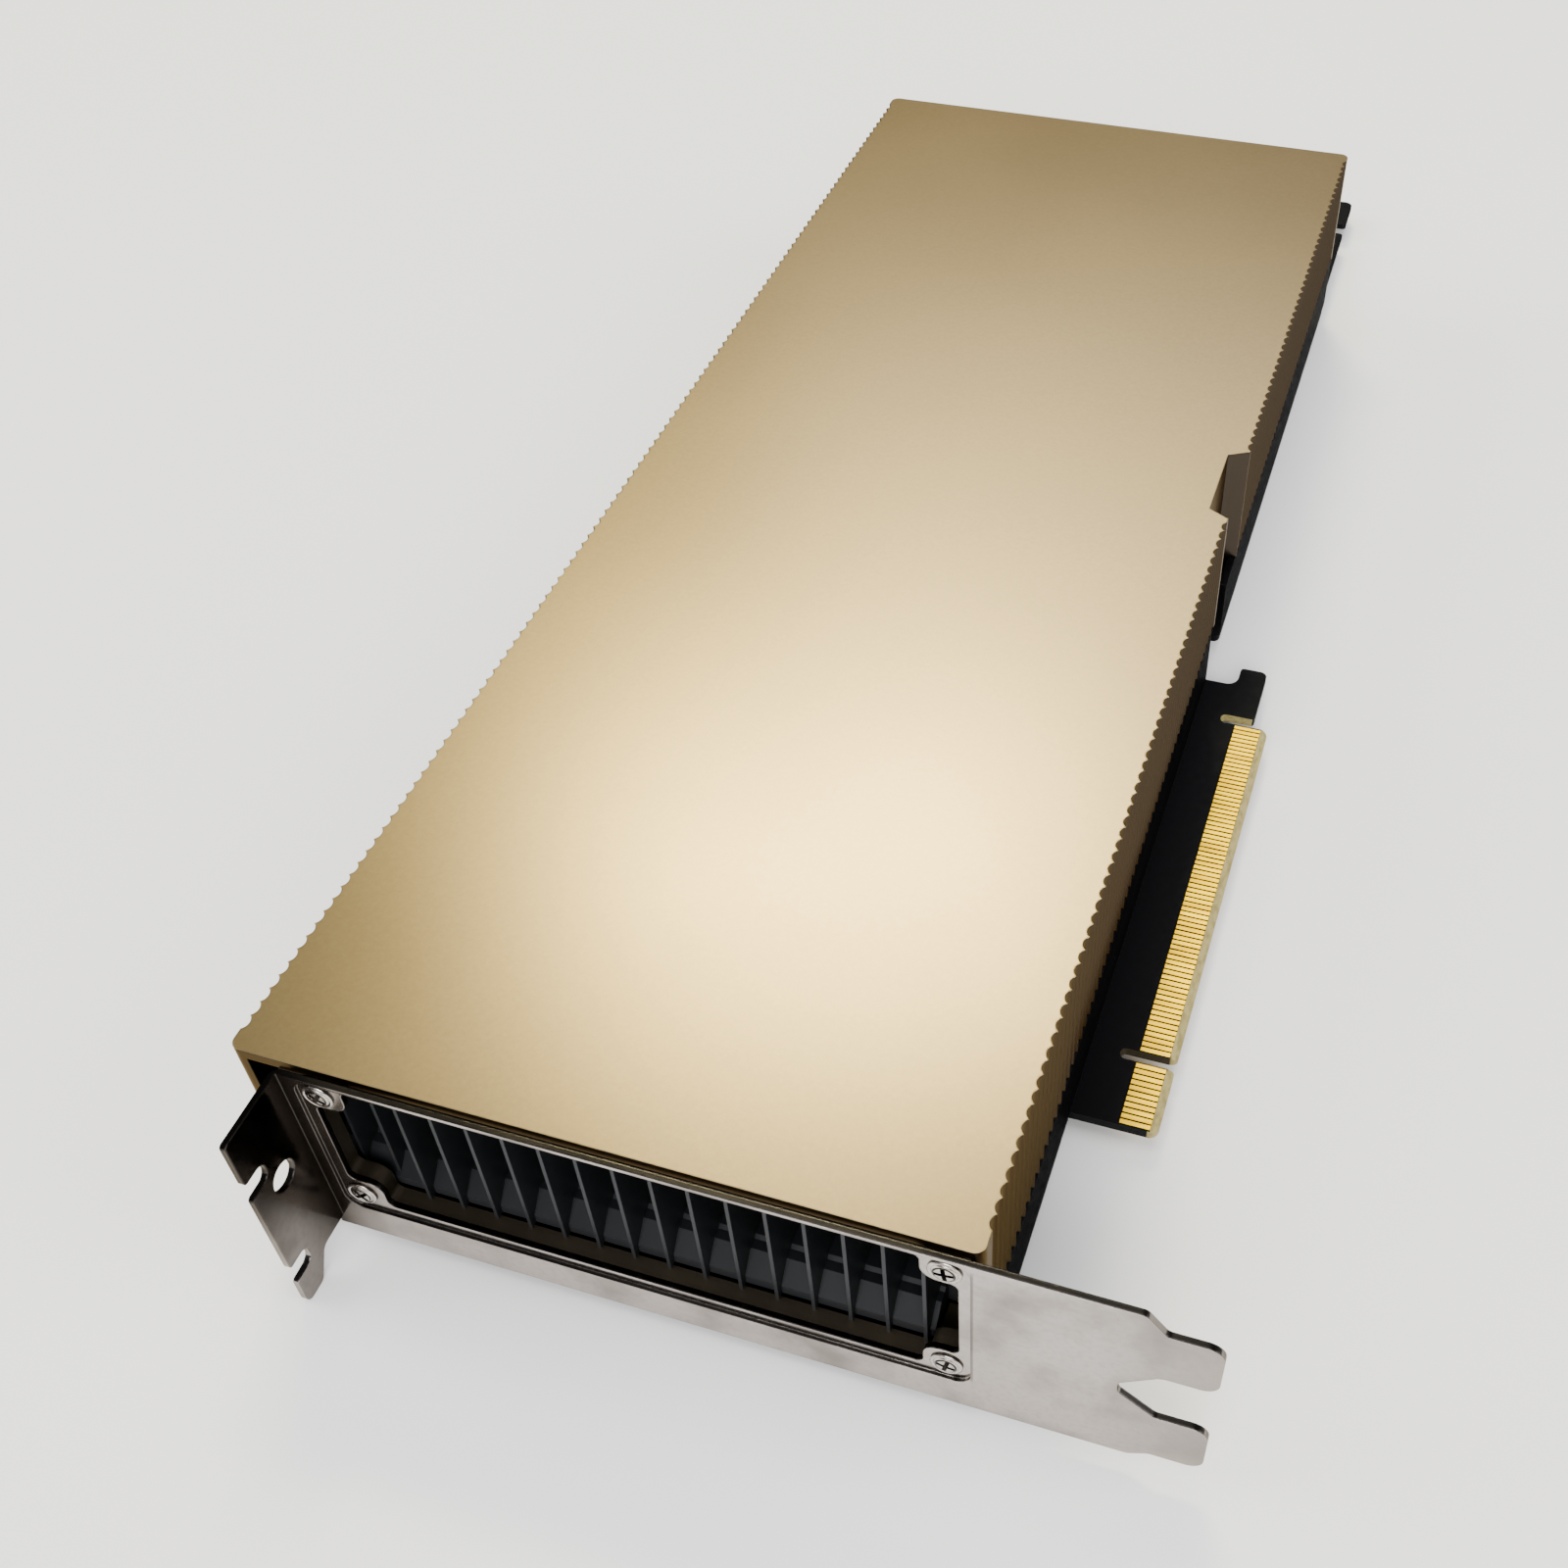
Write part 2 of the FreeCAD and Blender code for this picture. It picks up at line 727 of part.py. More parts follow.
def make_base_frame():
    """Black frame that stands on the board's edge and carries the cover."""
    outer = block("frame_outer", ("card_left", "frame_right"), ("frame_front", "frame_end"),
                  ("0 * frame_sill", "cover_foot"))
    inner = block("frame_inner", ("card_left + frame_wall", "frame_right - frame_wall"),
                  ("frame_front + frame_wall", "frame_end - frame_wall"), ("-frame_sill", "2 * cover_foot"))
    ends = block("frame_ends", ("card_left + frame_wall", "frame_right - frame_wall"),
                 ("-frame_sill", "2 * frame_end"), ("frame_sill", "2 * cover_foot"))
    neck = "tab_end + hook_gap + neck_length"
    waist_end = "tab_end + hook_gap + waist_length"
    waist = block("frame_waist", ("waist_right + frame_wall / 2", "0 * frame_sill"),
                  (neck, waist_end), ("-frame_sill", "2 * cover_foot"))
    inset = block("frame_inset", ("waist_right - frame_wall", "frame_right"),
                  (neck + " - frame_wall", waist_end + " + frame_wall"), ("0 * frame_sill", "cover_foot"))
    socket = block("frame_socket_gap", ("socket_left - socket_clearance",
                                        "socket_left + socket_width + socket_clearance"),
                   ("socket_front", "2 * frame_end"), ("-frame_sill", "2 * cover_foot"))
    ring = cut("frame_ring", outer, inner, ends)
    holes = []
    for side in ("left", "right"):
        holes.append(rod("frame_arm_hole_" + side, "arm_screw_" + side,
                         ("frame_end - 2 * frame_wall", "frame_end + frame_wall"), "arm_screw_height",
                         "arm_hole_radius"))
    return cut("base_frame", join("frame_with_inset", ring, inset), waist, socket, *holes)


def make_backplate():
    """Plate under the board, with a raised ring round each screw."""
    left = size("card_left") + size("plate_margin")
    right = size("plate_right")
    corner = size("plate_corner")
    corners = [
        (left, size("plate_front"), corner),
        (right, size("plate_front"), corner),
        (right, size("plate_end"), corner),
        (left, size("plate_end"), corner),
    ]
    flat = slab("plate_flat", sketch("plate_outline", FLAT, outline(corners)),
                Vector(0, 0, 1), "plate_thickness",
                ("0 * plate_gap", "0 * plate_gap", "-board_thickness - plate_gap - plate_thickness"))
    rings = []
    holes = []
    for name, x, y in post_places():
        foot = "-board_thickness - plate_gap"
        rings.append(post("plate_ring_" + name, x, y, (foot, "-board_thickness"), "post_radius"))
        holes.append(post("plate_hole_" + name, x, y, (foot + " - 2 * plate_thickness", "plate_gap"),
                          "post_hole"))
        holes.append(post("plate_sink_" + name, x, y,
                          (foot + " - 2 * plate_thickness", foot + " - plate_thickness + post_head_height"),
                          "post_radius"))
    return cut("backplate", join("plate_with_rings", flat, *rings), *holes)


def make_standoffs():
    """Six spacers between the board and the heat sink."""
    spacers = []
    for name, x, y in post_places():
        tube = post("spacer_tube_" + name, x, y, ("0 * sink_bottom", "sink_bottom"), "post_radius")
        hole = post("spacer_hole_" + name, x, y, ("-sink_bottom", "2 * sink_bottom"), "post_hole")
        spacers.append(cut("spacer_" + name, tube, hole))
    return group_of("standoffs", spacers)


def make_sink_screws():
    """Six screws from the plate's underside into the heat sink."""
    screws = []
    under = "-board_thickness - plate_gap - plate_thickness"
    for name, x, y in post_places():
        head = post("sink_screw_head_" + name, x, y, (under, under + " + post_head_height"), "post_head")
        shank = post("sink_screw_shank_" + name, x, y,
                     (under + " + post_head_height", "sink_bottom + post_hole"), "post_screw")
        screws.append(join("sink_screw_" + name, head, shank))
    return group_of("heat_sink_screws", screws)


def origin_plane(body, role):
    for feature in body.Origin.OriginFeatures:
        if feature.Role == role:
            return feature
    return None


def body_sketch(body, name, curves, offset):
    """A sketch on the body's own upright plane across the card, moved along it by a formula."""
    drawing = body.newObject("Sketcher::SketchObject", name)
    drawing.AttachmentSupport = [(origin_plane(body, "YZ_Plane"), "")]
    drawing.MapMode = "FlatFace"
    for curve in curves:
        drawing.addGeometry(curve, False)
    drawing.setExpression("AttachmentOffset.Base.z", from_sheet(offset))
    return drawing


def fin_row(body, name, front, first, count):
    """Upright fins side by side: one is drawn and pushed out, and the rest repeat it."""
    end = size("sink_end")
    bottom = size("sink_bottom")
    top = size("fin_top")
    blade = [(size(front), bottom, 0), (end, bottom, 0), (end, top, 0), (size(front), top, 0)]
    fin = body.newObject("PartDesign::Pad", name)
    fin.Profile = body_sketch(body, name + "_profile", outline(blade), first)
    fin.setExpression("Length", from_sheet("fin_thickness"))
    document.recompute()
    repeat = body.newObject("PartDesign::LinearPattern", name + "_row")
    repeat.Originals = [fin]
    repeat.Direction = (origin_plane(body, "X_Axis"), [""])
    repeat.setExpression("Length", from_sheet("fin_pitch * (%s - 1)" % count))
    repeat.setExpression("Occurrences", from_sheet(count))
    body.Tip = repeat
    document.recompute()


def make_heat_sink():
    """Base with a stepped ramp at the outlet, and upright fins along its whole length."""
    body = document.addObject("PartDesign::Body", "sink_body")
    bottom = size("sink_bottom")
    top = size("sink_base_top")
    front = size("sink_front")
    end = size("sink_end")
    profile = [(front, bottom, 0), (end, bottom, 0), (end, top, 0), (front, top, 0)]
    base = body.newObject("PartDesign::Pad", "sink_base")
    base.Profile = body_sketch(body, "sink_profile", outline(profile), "sink_left")
    base.setExpression("Length", from_sheet("sink_right - sink_left"))
    document.recompute()
    foot = size("ramp_front")
    head = size("ramp_head")
    head_top = size("ramp_head_top")
    land = head + size("ramp_land")
    slope = [
        (foot, bottom, 0),
        (front, bottom, 0),
        (front, top, 0),
        (land + top - head_top, top, 0),
        (land, head_top, 0),
        (head, head_top, 0),
        (foot, size("ramp_foot_top"), 0),
    ]
    ramp = body.newObject("PartDesign::Pad", "sink_ramp")
    ramp.Profile = body_sketch(body, "ramp_profile", outline(slope), "sink_left")
    ramp.setExpression("Length", from_sheet("ramp_right - sink_left"))
    document.recompute()
    fin_row(body, "fin", "fin_front", "fin_first", "fin_count")
    fin_row(body, "side_fin", "side_fin_front", "fin_first - side_fin_count * fin_pitch", "side_fin_count")
    holes = []
    for name, x, y in post_places():
        holes.append(post("sink_hole_" + name, x, y, ("0 * sink_bottom", "sink_bottom + 2 * post_hole"),
                          "post_hole"))
    return cut("heat_sink", body, *holes)


def make_vapor_chamber():
    """Flat heat spreader between the processor and the heat sink."""
    half_x = "chamber_width / 2"
    half_y = "chamber_length / 2"
    return block("vapor_chamber", ("chip_x - " + half_x, "chip_x + " + half_x),
                 ("chip_y - " + half_y, "chip_y + " + half_y), ("grease_top", "sink_bottom"))


def centred(name, width, length, low, high):
    """A block centred on the processor."""
    return block(name, ("chip_x - %s / 2" % width, "chip_x + %s / 2" % width),
                 ("chip_y - %s / 2" % length, "chip_y + %s / 2" % length), (low, high))


def make_stiffener():
    frame = centred("stiffener_blank", "stiffener_side", "stiffener_side", "substrate_top", "stiffener_top")
    inside = "(stiffener_side - 2 * stiffener_bar)"
    window = centred("stiffener_window", inside, inside, "0 * die_top", "2 * die_top")
    return cut("package_stiffener", frame, window)


def make_memory_stacks():
    """Three memory stacks on each side of the processor die."""
    stacks = []
    for side in ("left", "right"):
        for step in (-1, 0, 1):
            if side == "left":
                far = "chip_x - die_width / 2 - stack_gap - stack_width"
                x = (far, far + " + stack_width")
            else:
                near = "chip_x + die_width / 2 + stack_gap"
                x = (near, near + " + stack_width")
            middle = "chip_y + %d * stack_pitch" % step
            stacks.append(block("stack_%s_%d" % (side, step + 2), x,
                                (middle + " - stack_length / 2", middle + " + stack_length / 2"),
                                ("substrate_top", "die_top")))
    return group_of("memory_stacks", stacks)


def make_power_row(name, width, length, height, column):
    """Power parts in two columns, one at each side of the processor."""
    pieces = []
    for side in ("left", "right"):
        for step in range(int(size("coil_count"))):
            middle = "chip_y - coil_set_back + %d * coil_pitch" % step
            x = "%s_%s" % (column, side)
            pieces.append(block("%s_%s_%d" % (name, side, step + 1),
                                ("%s - %s / 2" % (x, width), "%s + %s / 2" % (x, width)),
                                ("%s - %s / 2" % (middle, length), "%s + %s / 2" % (middle, length)),
                                ("0 * coil_height", height)))
    return group_of(name, pieces)


def make_coil_pads():
    """Soft heat pads on both columns of coils."""
    pads = []
    for side in ("left", "right"):
        x = "coil_" + side
        half = "(coil_side / 2 - pad_margin)"
        first = "chip_y - coil_set_back"
        pads.append(block("coil_pad_" + side, (x + " - " + half, x + " + " + half),
                          (first + " - " + half, first + " + (coil_count - 1) * coil_pitch + " + half),
                          ("coil_height", "sink_bottom")))
    return group_of("coil_heat_pads", pads)


def make_capacitors():
    cans = []
    for step in range(int(size("can_count"))):
        for column in (0, 1):
            cans.append(post("can_%d_%d" % (column + 1, step + 1), "can_x + %d * can_pitch" % column,
                             "can_first + %d * can_pitch" % step, ("0 * can_height", "can_height"), "can_radius"))
    return group_of("capacitors", cans)


def make_support_chips():
    chips = []
    end = "chip_y - chamber_length / 2 - support_gap"
    for step in range(int(size("support_count"))):
        x = "support_first + %d * support_pitch" % step
        chips.append(block("support_chip_%d" % (step + 1), (x, x + " + support_side"),
                           (end + " - support_side", end), ("0 * support_height", "support_height")))
    return group_of("support_chips", chips)


def cavity_middles():
    """Column and row formulas of the socket's cavities."""
    places = []
    columns = int(size("cavity_columns"))
    rows = int(size("cavity_rows"))
    for column in range(columns):
        for level in range(rows):
            x = "socket_left + socket_width / 2 + (%d - (cavity_columns - 1) / 2) * cavity_pitch" % column
            z = "socket_foot + socket_height / 2 + (%d - (cavity_rows - 1) / 2) * cavity_pitch" % level
            places.append(("%d_%d" % (column + 1, level + 1), x, z))
    return places


def make_power_socket():
    """Plain power socket with two rows of cavities that face away from the bracket."""
    body = block("socket_body", ("socket_left", "socket_left + socket_width"), ("socket_front", "socket_end"),
                 ("socket_foot", "socket_foot + socket_height"))
    feet = block("socket_feet", ("socket_left + cavity_side", "socket_left + socket_width - cavity_side"),
                 ("socket_front", "board_end"), ("0 * socket_foot", "socket_foot + pin_side"))
    cavities = []
    half = " - cavity_side / 2", " + cavity_side / 2"
    for name, x, z in cavity_middles():
        cavities.append(block("cavity_" + name, (x + half[0], x + half[1]),
                              ("socket_end - cavity_depth", "2 * socket_end"), (z + half[0], z + half[1])))
    return cut("power_socket", join("socket_solid", body, feet), *cavities)


def make_power_pins():
    pins = []
    half = " - pin_side / 2", " + pin_side / 2"
    floor = "socket_end - cavity_depth"
    for name, x, z in cavity_middles():
        pins.append(block("power_pin_" + name, (x + half[0], x + half[1]), (floor, floor + " + pin_length"),
                          (z + half[0], z + half[1])))
    return group_of("power_pins", pins)


def make_support_arm():
    """Sheet-metal arm at the far end that guides the card in a full-length rail."""
    right = size("arm_right")
    left = size("arm_left")
    deep = right - size("arm_slot_depth")
    corner = size("arm_corner")
    tip = size("frame_end") + size("arm_reach")
    slot_start = tip - size("arm_slot_from_tip")
    slot_end = slot_start + size("arm_slot_width")
    corners = [
        (left, size("frame_end"), 0),
        (right, size("frame_end"), 0),
        (right, slot_start, corner / 2),
        (deep, slot_start, corner),
        (deep, slot_end, corner),
        (right, slot_end, corner / 2),
        (right, tip, corner),
        (left, tip, corner),
    ]
    flat = slab("arm_flat", sketch("arm_outline", FLAT, outline(corners)), Vector(0, 0, 1), "arm_thickness",
                ("0 * arm_reach", "0 * arm_reach", "-arm_thickness"))
    turned = block("arm_turned_up", ("arm_left", "arm_right"), ("frame_end", "frame_end + arm_turn_up"),
                   ("-arm_thickness", "frame_sill"))
    gap = block("arm_socket_gap", ("socket_left - socket_clearance", "socket_left + socket_width + socket_clearance"),
                ("0 * frame_end", "socket_end + socket_clearance"), ("0 * frame_sill", "2 * frame_sill"))
    holes = []
    for side in ("left", "right"):
        holes.append(rod("arm_hole_" + side, "arm_screw_" + side, ("frame_end - frame_wall", "frame_end + 4 * frame_wall"),
                         "arm_screw_height", "arm_hole_radius"))
    return cut("support_arm", join("arm_bent", flat, turned), gap, *holes)


def make_arm_screws():
    screws = []
    for side in ("left", "right"):
        x = "arm_screw_" + side
        face = "frame_end + arm_turn_up"
        head = rod("arm_screw_head_" + side, x, (face, face + " + arm_screw_head_height"), "arm_screw_height",
                   "arm_screw_head")
        shank = rod("arm_screw_shank_" + side, x, ("frame_end - frame_wall", face), "arm_screw_height",
                    "arm_screw_radius")
        screws.append(join("arm_screw_" + side, head, shank))
    return group_of("arm_screws", screws)


under_board = "-board_thickness"
nodes = [
    make_circuit_board(),
    make_contacts("edge_contacts_front", "0 * contact_thickness", "contact_thickness"),
    make_contacts("edge_contacts_back", under_board + " - contact_thickness", under_board),
    make_shroud(),
    make_bracket(),
    make_bracket_screws(),
    make_duct_mouth(),
    make_base_frame(),
    make_backplate(),
    make_standoffs(),
    make_sink_screws(),
    make_heat_sink(),
    make_vapor_chamber(),
    centred("processor_substrate", "substrate_side", "substrate_side", "0 * substrate_top", "substrate_top"),
    centred("processor_die", "die_width", "die_length", "substrate_top", "die_top"),
    make_stiffener(),
    make_memory_stacks(),
    centred("thermal_interface", "die_width", "die_length", "die_top", "grease_top"),
    make_power_row("power_inductors", "coil_side", "coil_side", "coil_height", "coil"),
    make_power_row("power_stages", "stage_width", "stage_length", "stage_height", "stage"),
    make_coil_pads(),
    make_capacitors(),
    make_support_chips(),
    make_power_socket(),
    make_power_pins(),
    make_support_arm(),
    make_arm_screws(),
]

for node in nodes:
    node.Label = node.Name
document.recompute()

for thing in document.Objects:
    if "Invalid" in thing.State or "Error" in thing.State:
        raise RuntimeError("failed: %s %s" % (thing.Name, thing.State))

os.makedirs("parts", exist_ok=True)
for node in nodes:
    if node.Shape.isNull() or not node.Shape.isValid():
        raise RuntimeError("bad shape: " + node.Name)
    node.Shape.exportStep("parts/%s.step" % node.Label)
    print(node.Label, len(node.Shape.Solids), round(node.Shape.Volume, 2))
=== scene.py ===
import math

import bmesh
import bpy
from mathutils import Matrix, Quaternion, Vector


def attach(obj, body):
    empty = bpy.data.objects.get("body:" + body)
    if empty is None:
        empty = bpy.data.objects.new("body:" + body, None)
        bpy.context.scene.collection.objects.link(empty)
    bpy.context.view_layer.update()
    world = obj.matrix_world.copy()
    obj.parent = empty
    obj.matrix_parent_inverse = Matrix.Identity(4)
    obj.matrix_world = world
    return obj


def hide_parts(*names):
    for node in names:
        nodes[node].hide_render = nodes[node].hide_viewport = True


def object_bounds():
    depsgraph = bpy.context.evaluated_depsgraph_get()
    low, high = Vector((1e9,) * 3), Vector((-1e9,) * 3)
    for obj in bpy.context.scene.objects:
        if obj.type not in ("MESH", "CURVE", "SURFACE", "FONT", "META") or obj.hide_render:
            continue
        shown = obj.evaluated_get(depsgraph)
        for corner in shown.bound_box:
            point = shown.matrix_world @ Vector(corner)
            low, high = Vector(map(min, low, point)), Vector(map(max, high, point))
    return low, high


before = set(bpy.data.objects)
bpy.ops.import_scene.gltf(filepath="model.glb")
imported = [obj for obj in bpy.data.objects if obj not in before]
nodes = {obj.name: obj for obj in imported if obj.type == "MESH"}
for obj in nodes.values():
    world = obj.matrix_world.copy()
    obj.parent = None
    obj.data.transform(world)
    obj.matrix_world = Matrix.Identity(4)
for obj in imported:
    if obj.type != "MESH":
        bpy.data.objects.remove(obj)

solid_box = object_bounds()

# Camera. It stands above the bracket end and looks down the length of the card, and is
# turned by two degrees. Lengths are in metres, and lens and centre in photo pixels.
camera_place = Vector((0.0155, -0.0973, 0.2169))
camera_aim = Vector((-0.0469, 0.0770, 0.0150))
camera_roll = math.radians(-2.19)
image_side = 1600
focal_pixels = 1850.6
centre_right = 925.0
centre_down = 849.9
camera = bpy.data.objects.new("camera", bpy.data.cameras.new("camera"))
bpy.context.scene.collection.objects.link(camera)
camera.location = camera_place
camera.rotation_mode = "QUATERNION"
level = (camera_aim - camera_place).to_track_quat("-Z", "Y")
camera.rotation_quaternion = level @ Quaternion((0, 0, 1), camera_roll)
camera.data.sensor_width = 36
camera.data.lens = focal_pixels / image_side * camera.data.sensor_width
camera.data.shift_x = (image_side / 2 - centre_right) / image_side
camera.data.shift_y = (centre_down - image_side / 2) / image_side
camera.data.clip_start = 0.01
bpy.context.scene.camera = camera


# Lamps. Two soft boxes stand behind the card, where the satin cover mirrors them: a
# narrow warm one for its highlight and a wide one. Four more stand in front of it, over
# it and at its sides, so that it is lit the same way all round.
def soft_box(name, place, aim, size, watts, colour):
    """A rectangular lamp that points at a place on the card."""
    light = bpy.data.lights.new(name, "AREA")
    light.shape = "RECTANGLE"
    light.size, light.size_y = size
    light.energy = watts
    light.color = colour
    lamp = bpy.data.objects.new(name, light)
    lamp.location = place
    lamp.rotation_euler = (Vector(aim) - Vector(place)).to_track_quat("-Z", "Y").to_euler()
    bpy.context.scene.collection.objects.link(lamp)


warm_light = (1.0, 0.915, 0.50)
cool_light = (0.95, 0.97, 1.0)
plain_light = (1.0, 0.995, 0.99)
near_end = (-0.06, 0.07, 0.03)
card_middle = (-0.05, 0.10, 0.0)
soft_box("soft_box_behind", place=(-0.52, 1.154, 1.395), aim=near_end,
         size=(0.56, 0.155), watts=20.0, colour=warm_light)
soft_box("wide_box_behind", place=(-0.167, 0.934, 0.86), aim=near_end,
         size=(0.6, 0.6), watts=4.0, colour=cool_light)
soft_box("soft_box_front", place=(0.25, -1.25, 1.00), aim=(-0.04, 0.0, 0.0),
         size=(1.2, 0.9), watts=38.0, colour=plain_light)
soft_box("soft_box_over", place=(-0.05, 0.10, 1.65), aim=card_middle,
         size=(1.1, 1.1), watts=16.0, colour=plain_light)
soft_box("soft_box_left", place=(-1.35, -0.10, 0.85), aim=card_middle,
         size=(0.9, 0.9), watts=14.0, colour=plain_light)
soft_box("soft_box_right", place=(1.30, 0.10, 0.80), aim=card_middle,
         size=(0.9, 0.9), watts=14.0, colour=plain_light)

# Room. A pale matt table under the card, dim even light from all round, and a bright
# pale wall that only the camera sees.
surround = bpy.data.worlds.new("surround")
surround.use_nodes = True
room = surround.node_tree
even_light = room.nodes["Background"]
even_light.inputs["Color"].default_value = (0.90, 0.95, 1.04, 1)
even_light.inputs["Strength"].default_value = 0.21
pale_wall = room.nodes.new("ShaderNodeBackground")
pale_wall.inputs["Color"].default_value = (0.98, 0.99, 1.0, 1)
pale_wall.inputs["Strength"].default_value = 1.9
seen = room.nodes.new("ShaderNodeLightPath")
either_one = room.nodes.new("ShaderNodeMixShader")
room.links.new(seen.outputs["Is Camera Ray"], either_one.inputs[0])
room.links.new(even_light.outputs[0], either_one.inputs[1])
room.links.new(pale_wall.outputs[0], either_one.inputs[2])
room.links.new(either_one.outputs[0], room.nodes["World Output"].inputs["Surface"])
bpy.context.scene.world = surround

table_half = 4.0
table_height = solid_box[0][2]
table_corners = [(x * table_half, y * table_half, table_height)
                 for x, y in ((-1, -1), (1, -1), (1, 1), (-1, 1))]
table_mesh = bpy.data.meshes.new("table_top")
table_mesh.from_pydata(table_corners, [], [(0, 1, 2, 3)])
table = bpy.data.objects.new("table_top", table_mesh)
bpy.context.scene.collection.objects.link(table)
table_white = bpy.data.materials.new("table_white")
table_white.use_nodes = True
table_shader = table_white.node_tree.nodes["Principled BSDF"]
table_shader.inputs["Base Color"].default_value = (0.93, 0.93, 0.925, 1)
table_shader.inputs["Roughness"].default_value = 0.8
table_mesh.materials.append(table_white)

# Circuit board. Layers of glass-fibre laminate under black solder mask, routed to shape.
# The edges of the contact tab are left bare, and the greenish laminate shows there.
mm = 0.001


class Finish:
    """A surface finish, its shader, and the kinds of detail that the card's finishes share."""

    def __init__(self, name, colour, metallic, roughness, gloss=None, rim_tint=(1, 1, 1)):
        if gloss is None:
            gloss = 0.5 if metallic else 0.15
        self.material = bpy.data.materials.new(name)
        self.material.use_nodes = True
        self.tree = self.material.node_tree
        self.shader = self.tree.nodes["Principled BSDF"]
        self.shader.inputs["Base Color"].default_value = (*colour, 1)
        self.shader.inputs["Metallic"].default_value = metallic
        self.shader.inputs["Roughness"].default_value = roughness
        self.shader.inputs["Specular IOR Level"].default_value = gloss
        self.shader.inputs["Specular Tint"].default_value = (*rim_tint, 1)
        self.place = self.tree.nodes.new("ShaderNodeTexCoord")
        self.bump = None

    def mottle(self, scale, detail, stretch=None):
        """Cloudy variation, scale cells to the metre; stretch draws it out along an axis."""
        source = self.place.outputs["Object"]
        if stretch:
            mapping = self.tree.nodes.new("ShaderNodeMapping")
            mapping.inputs["Scale"].default_value = stretch
            self.tree.links.new(source, mapping.inputs["Vector"])
            source = mapping.outputs["Vector"]
        cloud = self.tree.nodes.new("ShaderNodeTexNoise")
        cloud.inputs["Scale"].default_value = scale
        cloud.inputs["Detail"].default_value = detail
        self.tree.links.new(source, cloud.inputs["Vector"])
        return cloud.outputs["Fac"]

    def spread(self, source, low=0, high=1, from_low=0.3, from_high=0.7):
        """The source drawn out to run from low to high."""
        spread = self.tree.nodes.new("ShaderNodeMapRange")
        spread.inputs["From Min"].default_value = from_low
        spread.inputs["From Max"].default_value = from_high
        spread.inputs["To Min"].default_value = low
        spread.inputs["To Max"].default_value = high
        self.tree.links.new(source, spread.inputs["Value"])
        return spread.outputs["Result"]

    def facing(self, axis):
        """How far a face points along an axis, either way."""
        way = self.tree.nodes.new("ShaderNodeNewGeometry")
        parts = self.tree.nodes.new("ShaderNodeSeparateXYZ")
        size = self.tree.nodes.new("ShaderNodeMath")
        size.operation = "ABSOLUTE"
        self.tree.links.new(way.outputs["Normal"], parts.inputs["Vector"])
        self.tree.links.new(parts.outputs[axis], size.inputs[0])
        return size.outputs["Value"]

    def past(self, axis, line, low=0, high=1):
        """A share that goes from low to high across a line, given as two places in mm."""
        parts = self.tree.nodes.new("ShaderNodeSeparateXYZ")
        self.tree.links.new(self.place.outputs["Object"], parts.inputs["Vector"])
        start, end = line
        return self.spread(parts.outputs[axis], low, high, start * mm, end * mm)

    def before(self, axis, line):
        """All of it in front of a line and none past it."""
        return self.past(axis, line, 1, 0)

    def combined(self, operation, first, second):
        """One share from two."""
        step = self.tree.nodes.new("ShaderNodeMath")
        step.operation = operation
        self.tree.links.new(first, step.inputs[0])
        self.tree.links.new(second, step.inputs[1])
        return step.outputs["Value"]

    def both(self, first, second):
        """The share where both hold."""
        return self.combined("MULTIPLY", first, second)

    def either(self, first, second):
        """The larger of two shares."""
        return self.combined("MAXIMUM", first, second)

    def marked(self, name):
        """A share that the mesh itself carries."""
        mark = self.tree.nodes.new("ShaderNodeAttribute")
        mark.attribute_name = name
        return mark.outputs["Fac"]

    def coat(self, under, colour, share):
        """A colour laid by a share over a plain colour or over an earlier coat."""
        mix = self.tree.nodes.new("ShaderNodeMix")
        mix.data_type = "RGBA"
        mix.inputs["B"].default_value = (*colour, 1)
        if isinstance(under, tuple):
            mix.inputs["A"].default_value = (*under, 1)
        else:
            self.tree.links.new(under.outputs["Result"], mix.inputs["A"])
        self.tree.links.new(share, mix.inputs["Factor"])
        self.tree.links.new(mix.outputs["Result"], self.shader.inputs["Base Color"])
        return mix

    def rough(self, source):
        """How rough the surface is from place to place."""
        self.tree.links.new(source, self.shader.inputs["Roughness"])

    def relief(self, source, depth, strength=1.0):
        """Fine relief, so many mm deep, on top of any relief given before."""
        bump = self.tree.nodes.new("ShaderNodeBump")
        bump.inputs["Distance"].default_value = depth * mm
        bump.inputs["Strength"].default_value = strength
        self.tree.links.new(source, bump.inputs["Height"])
        if self.bump:
            self.tree.links.new(self.bump.outputs["Normal"], bump.inputs["Normal"])
        self.bump = bump
        self.tree.links.new(bump.outputs["Normal"], self.shader.inputs["Normal"])

    def soft_edges(self, radius):
        """Edges broken by a small radius in mm."""
        edge = self.tree.nodes.new("ShaderNodeBevel")
        edge.samples = 6
        edge.inputs["Radius"].default_value = radius * mm
        if self.bump:
            first = self.bump
            while first.inputs["Normal"].is_linked:
                first = first.inputs["Normal"].links[0].from_node
            self.tree.links.new(edge.outputs["Normal"], first.inputs["Normal"])
        else:
            self.tree.links.new(edge.outputs["Normal"], self.shader.inputs["Normal"])

    def dress(self, node):
        """Gives the finish to a solid of the card."""
        solid = nodes[node]
        solid.data.materials.clear()
        solid.data.materials.append(self.material)


